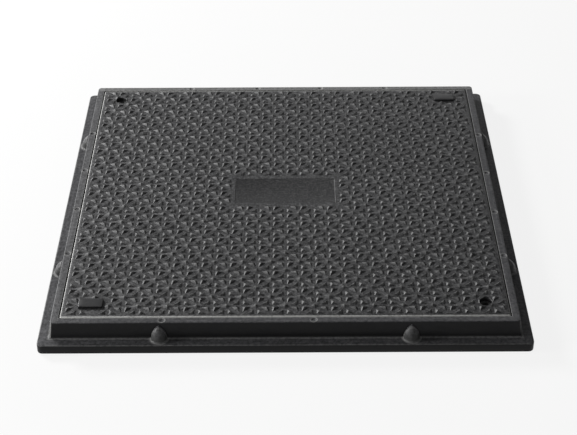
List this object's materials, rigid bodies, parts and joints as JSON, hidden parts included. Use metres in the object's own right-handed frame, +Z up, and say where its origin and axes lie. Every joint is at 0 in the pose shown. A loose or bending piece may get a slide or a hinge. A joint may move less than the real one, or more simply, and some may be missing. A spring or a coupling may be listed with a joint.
{
  "type": "inspection cover",
  "caption": "Square moulded composite inspection cover with a raised anti-slip tread, lying in its own flanged frame, with locking screws and plugged lifting slots.",
  "frame": {"origin": "centre of the frame's underside, on the plane that it is bedded on", "axes": "+Z up through the tread; +X to the right and +Y away from the viewer as the picture shows it"},
  "size_m": [0.7, 0.7, 0.0438],
  "materials": {
    "frame_composite": "moulded, satin, lightly scuffed",
    "cover_composite": "moulded, satin, worn on the studs",
    "plug_plastic": "smooth, satin",
    "screw_steel": "dull, dusty",
    "insert_brass": "turned"
  },
  "bodies": {
    "root": {"frame": "frame_composite", "cover": "cover_composite", "near_lifting_plug": "plug_plastic", "far_lifting_plug": "plug_plastic", "locking_screws": "screw_steel", "threaded_inserts": "insert_brass"}
  },
  "joints": []
}
